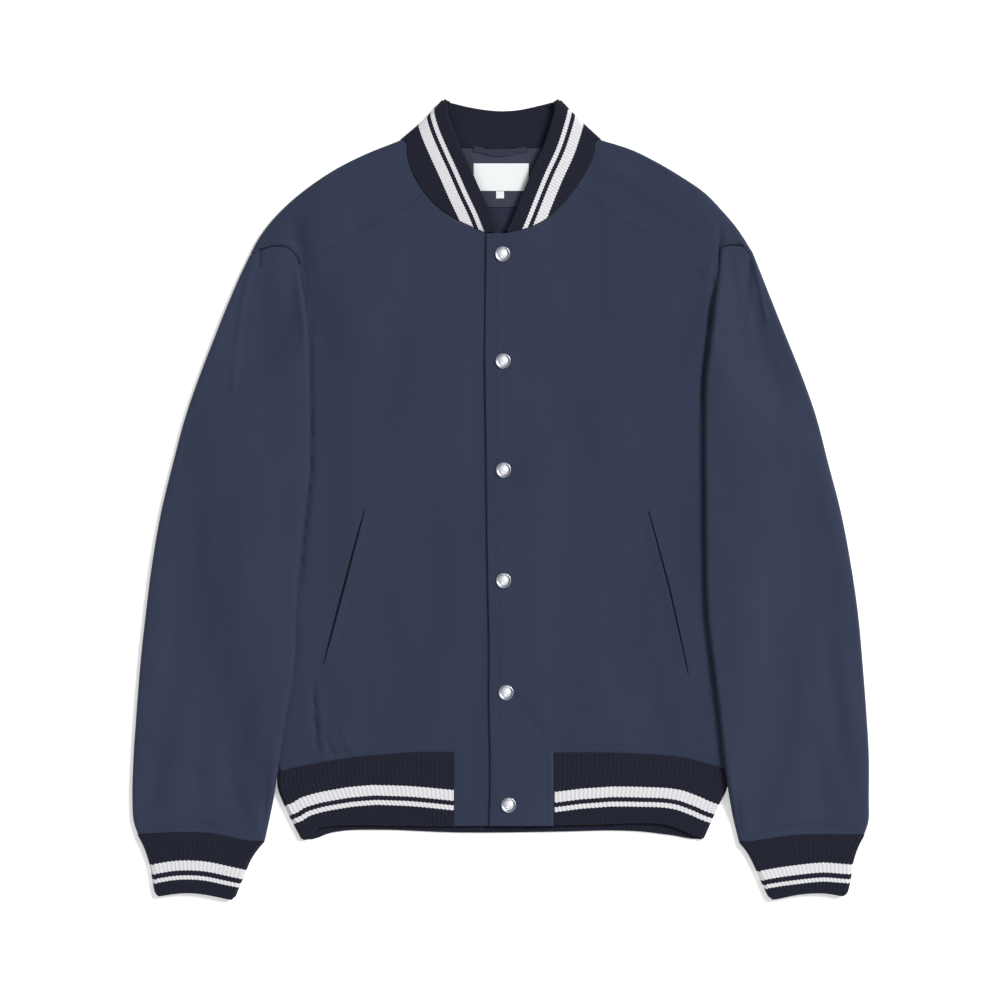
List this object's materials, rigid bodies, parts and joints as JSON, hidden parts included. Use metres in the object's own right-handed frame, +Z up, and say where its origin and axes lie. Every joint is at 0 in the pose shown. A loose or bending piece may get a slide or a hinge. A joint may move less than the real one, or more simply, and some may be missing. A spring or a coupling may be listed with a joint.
{
  "type": "varsity jacket, laid flat",
  "caption": "Bomber-style jacket laid flat on its back, with ribbed collar, cuffs and hem, slanted pockets and a press-stud front.",
  "frame": {"origin": "middle of the laid jacket's plan, on the surface that it lies on", "axes": "+X towards the wearer's left sleeve, +Y towards the collar, +Z up out of the surface, the front facing up"},
  "size_m": [0.7372, 0.8, 0.019],
  "materials": {
    "back": "matt woven cloth",
    "front_right": "matt woven cloth",
    "front_left": "matt woven cloth",
    "sleeve_right": "matt woven cloth",
    "sleeve_left": "matt woven cloth",
    "cuff_right": "rib knit with two off-white stripes",
    "cuff_left": "rib knit with two off-white stripes",
    "collar": "rib knit with two off-white stripes",
    "hem_rib": "rib knit with two off-white stripes",
    "pocket_welt_right": "matt woven cloth",
    "pocket_welt_left": "matt woven cloth",
    "neck_facing": "matt woven cloth",
    "lining": "smooth lining cloth",
    "hanging_loop": "narrow tape",
    "label": "bare woven label",
    "size_tab": "bare woven label",
    "snap_1": "satin silver",
    "snap_2": "satin silver",
    "snap_3": "satin silver",
    "snap_4": "satin silver",
    "snap_5": "satin silver",
    "snap_6": "satin silver"
  },
  "bodies": {
    "root": {"back": "back", "front_right": "front_right", "front_left": "front_left", "sleeve_right": "sleeve_right", "sleeve_left": "sleeve_left", "cuff_right": "cuff_right", "cuff_left": "cuff_left", "collar": "collar", "hem_rib": "hem_rib", "pocket_welt_right": "pocket_welt_right", "pocket_welt_left": "pocket_welt_left", "neck_facing": "neck_facing", "lining": "lining", "hanging_loop": "hanging_loop", "label": "label", "size_tab": "size_tab", "snap_1": "snap_1", "snap_2": "snap_2", "snap_3": "snap_3", "snap_4": "snap_4", "snap_5": "snap_5", "snap_6": "snap_6"}
  },
  "joints": []
}
